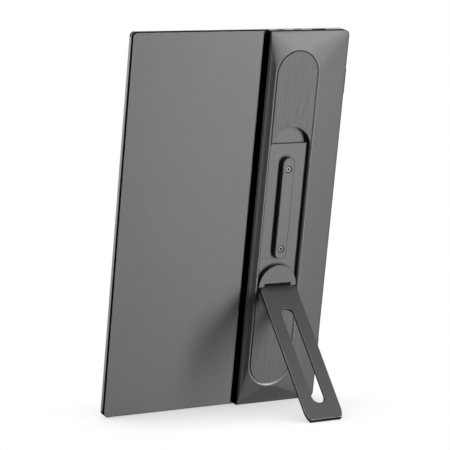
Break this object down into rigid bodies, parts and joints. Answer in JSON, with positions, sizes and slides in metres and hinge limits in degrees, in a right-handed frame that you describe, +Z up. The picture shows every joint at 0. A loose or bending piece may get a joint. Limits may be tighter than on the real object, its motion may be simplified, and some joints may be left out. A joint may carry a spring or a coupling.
{
  "type": "portable monitor",
  "caption": "Flat portable monitor standing on end, with a hinged front cover, a domed rear housing along one long edge and a slotted kick leg on a swivelling disc.",
  "frame": {"origin": "middle of the bounding box at the surface the monitor stands on, in its stance with the leg out", "axes": "+Z up; -Y is the way the screen and its cover face, leaning back; +Y is the rear with the leg; the thick housing runs up the long edge at -X"},
  "size_m": [0.2222, 0.12, 0.3519],
  "materials": {
    "anodised": "fine matt blasted, grey anodised",
    "brushed": "brushed across, warm grey",
    "bright_metal": "bright satin",
    "black_plastic": "matt black",
    "bezel_plastic": "matt dark grey",
    "cover_board": "soft-touch dark grey",
    "lining": "short napped cloth",
    "screen_glass": "polished",
    "lcd": "dark polarising film",
    "film": "white translucent",
    "led_board": "white board with yellow lamps",
    "rubber": "matt moulded",
    "steel": "plain zinc-plated",
    "screw_steel": "blued steel",
    "spring_brass": "plain",
    "copper": "bare copper",
    "board": "green lacquered board",
    "chip": "moulded black",
    "ribbon": "amber film",
    "magnet": "nickel-plated"
  },
  "bodies": {
    "monitor": {"rear_panel": "anodised", "mid_frame": "black_plastic", "front_frame": "bezel_plastic", "screen_glass": "screen_glass", "lcd_panel": "lcd", "diffuser_sheet": "film", "light_guide": "film", "reflector_sheet": "film", "led_bar": "led_board", "housing_shell": "anodised", "housing_side_strip": "black_plastic", "port_plate": "bright_metal", "edge_feet": "rubber", "stand_ring": "bright_metal", "upper_plate": "brushed", "lower_plate": "brushed", "stand_tray": "anodised", "stand_base_plate": "steel", "raised_insert": "anodised", "insert_screws": "screw_steel", "turntable_rivet": "steel", "rivet_nut": "spring_brass", "cover_hinge_knuckles": "bezel_plastic", "cover_hinge_pin": "steel", "frame_magnets": "magnet", "key_board": "board", "key_switches": "steel", "main_board": "board", "board_chips": "chip", "heat_spreader": "copper", "board_posts": "spring_brass", "board_screws": "steel", "port_board": "board", "usb_c_sockets": "steel", "video_socket": "steel", "display_ribbon": "ribbon", "port_ribbon": "ribbon", "speakers": "chip"},
    "turntable": {"turntable_disc": "anodised", "hinge_pin": "steel"},
    "leg": {"kick_leg": "anodised", "leg_foot_pad": "rubber"},
    "cover": {"cover_panel": "cover_board", "cover_lining": "lining", "cover_edge_rail": "bright_metal", "cover_magnets": "magnet", "cover_hinge_leaf": "bezel_plastic"},
    "power_button_body": {"power_button": "bezel_plastic"},
    "menu_key_body": {"menu_key": "bezel_plastic"}
  },
  "joints": [
    {"name": "turntable_swivel", "type": "hinge", "parent": "monitor", "child": "turntable", "pos_m": [-0.05635, -0.02477, 0.11304], "axis": [0, 0.9853, -0.1707], "range_deg": [0, 180]},
    {"name": "leg_fold", "type": "hinge", "parent": "turntable", "child": "leg", "pos_m": [-0.05635, -0.02645, 0.11445], "axis": [1, 0, 0], "range_deg": [-19, 48]},
    {"name": "cover_hinge", "type": "hinge", "parent": "monitor", "child": "cover", "pos_m": [-0.1094, -0.02873, 0.17685], "axis": [0, -0.1707, -0.9853], "range_deg": [0, 180]},
    {"name": "power_button_press", "type": "slide", "parent": "monitor", "child": "power_button_body", "axis": [0, 0.1707, 0.9853], "range_m": [0, 0.00035], "stiffness_N_per_m": 900},
    {"name": "menu_key_press", "type": "slide", "parent": "monitor", "child": "menu_key_body", "axis": [0, 0.1707, 0.9853], "range_m": [0, 0.00035], "stiffness_N_per_m": 900}
  ]
}
